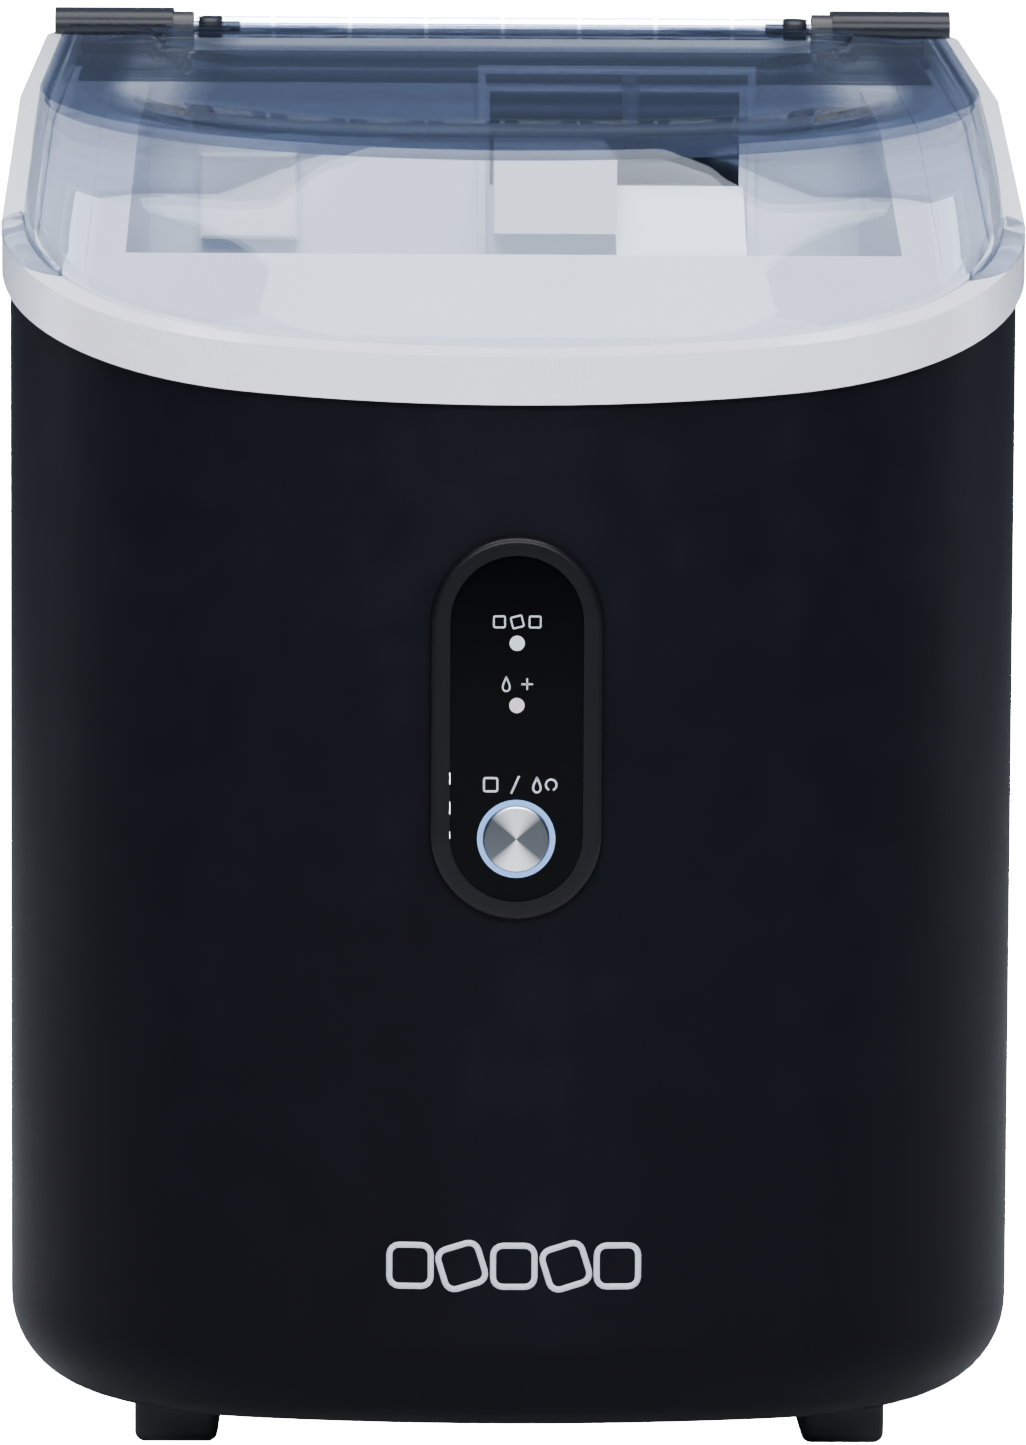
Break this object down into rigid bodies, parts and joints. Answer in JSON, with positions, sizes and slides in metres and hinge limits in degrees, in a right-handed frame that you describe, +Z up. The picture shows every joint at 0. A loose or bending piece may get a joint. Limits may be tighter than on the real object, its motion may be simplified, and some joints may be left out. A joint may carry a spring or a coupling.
{
  "type": "countertop ice maker",
  "caption": "Countertop nugget ice maker with a sloped clear hinged lid, a lift-out ice basket, a front button panel and an auger-type ice machine inside.",
  "frame": {"origin": "centre of the bounding box on the surface that the feet stand on", "axes": "+Z up, +X to the right seen from the front, +Y from the front panel to the rear"},
  "size_m": [0.2422, 0.3015, 0.3378],
  "materials": {
    "shell_black": "satin matt black, fine grain",
    "black_plastic": "moulded black",
    "rubber_black": "soft rubber",
    "trim_silver": "satin silver white",
    "liner_grey": "light grey moulding",
    "basket_clear": "clear moulding",
    "lid_smoke": "smoked clear moulding",
    "steel": "machined",
    "gloss_black": "high gloss",
    "light_blue": "translucent light piece",
    "board_green": "solder mask",
    "compressor_black": "enamel",
    "fin_aluminium": "mill finish",
    "copper": "drawn copper tube",
    "pump_grey": "moulded grey"
  },
  "bodies": {
    "chassis": {"add_water_light": "light_blue", "auger_motor": "steel", "base_pan": "black_plastic", "button_halo": "light_blue", "compressor": "compressor_black", "condenser": "fin_aluminium", "control_bezel": "black_plastic", "control_board": "board_green", "discharge_pipe": "copper", "drain_hose": "rubber_black", "evaporator_barrel": "fin_aluminium", "extruder_head": "liner_grey", "fan_shroud": "black_plastic", "filter_drier": "copper", "float_stem": "liner_grey", "foot_front_left": "rubber_black", "foot_front_right": "rubber_black", "foot_rear_left": "rubber_black", "foot_rear_right": "rubber_black", "gear_case": "black_plastic", "hinge_cover_left": "black_plastic", "hinge_cover_right": "black_plastic", "hinge_pin_left": "steel", "hinge_pin_right": "steel", "ice_full_light": "light_blue", "ice_sensor": "steel", "ice_spout": "liner_grey", "liner": "liner_grey", "main_board": "board_green", "outer_shell": "shell_black", "panel_lens": "gloss_black", "power_inlet": "black_plastic", "rear_housing": "black_plastic", "rear_panel": "black_plastic", "rear_screws": "steel", "sensor_cover": "liner_grey", "spout_frame": "liner_grey", "suction_pipe": "copper", "supply_hose": "rubber_black", "tact_switch": "light_blue", "trim_ring": "trim_silver", "water_pump": "pump_grey", "water_tank": "liner_grey"},
    "lid": {"lid": "lid_smoke"},
    "basket": {"ice_basket": "basket_clear"},
    "button": {"power_button": "steel"},
    "auger_drive": {"auger": "steel", "drive_gear": "steel"},
    "pinion": {"motor_pinion": "steel"},
    "fan": {"fan_rotor": "black_plastic"},
    "float": {"float_bob": "liner_grey"},
    "bung": {"drain_bung": "rubber_black"}
  },
  "joints": [
    {"name": "lid_hinge", "type": "hinge", "parent": "chassis", "child": "lid", "pos_m": [0, 0.137, 0.33283], "axis": [-1, 0, 0], "range_deg": [0, 98]},
    {"name": "basket_lift", "type": "slide", "parent": "chassis", "child": "basket", "axis": [0, 0, 1], "range_m": [0, 0.034]},
    {"name": "button_press", "type": "slide", "parent": "chassis", "child": "button", "axis": [0, 1, 0], "range_m": [0, 0.0012], "stiffness_N_per_m": 500},
    {"name": "auger_spin", "type": "hinge", "parent": "chassis", "child": "auger_drive", "pos_m": [0.026, 0.114, 0.067], "axis": [0, 0, 1], "continuous": true},
    {"name": "pinion_spin", "type": "hinge", "parent": "chassis", "child": "pinion", "pos_m": [-0.0076, 0.114, 0.067], "axis": [0, 0, 1], "continuous": true},
    {"name": "fan_spin", "type": "hinge", "parent": "chassis", "child": "fan", "pos_m": [0.0725, -0.02, 0.0648], "axis": [1, 0, 0], "continuous": true},
    {"name": "float_rise", "type": "slide", "parent": "chassis", "child": "float", "axis": [0, 0, 1], "range_m": [0, 0.028]},
    {"name": "bung_pull", "type": "slide", "parent": "chassis", "child": "bung", "axis": [0, 1, 0], "range_m": [0, 0.03]}
  ],
  "couplings": [
    {"joint": "pinion_spin", "follows": "auger_spin", "ratio": -2.5}
  ]
}
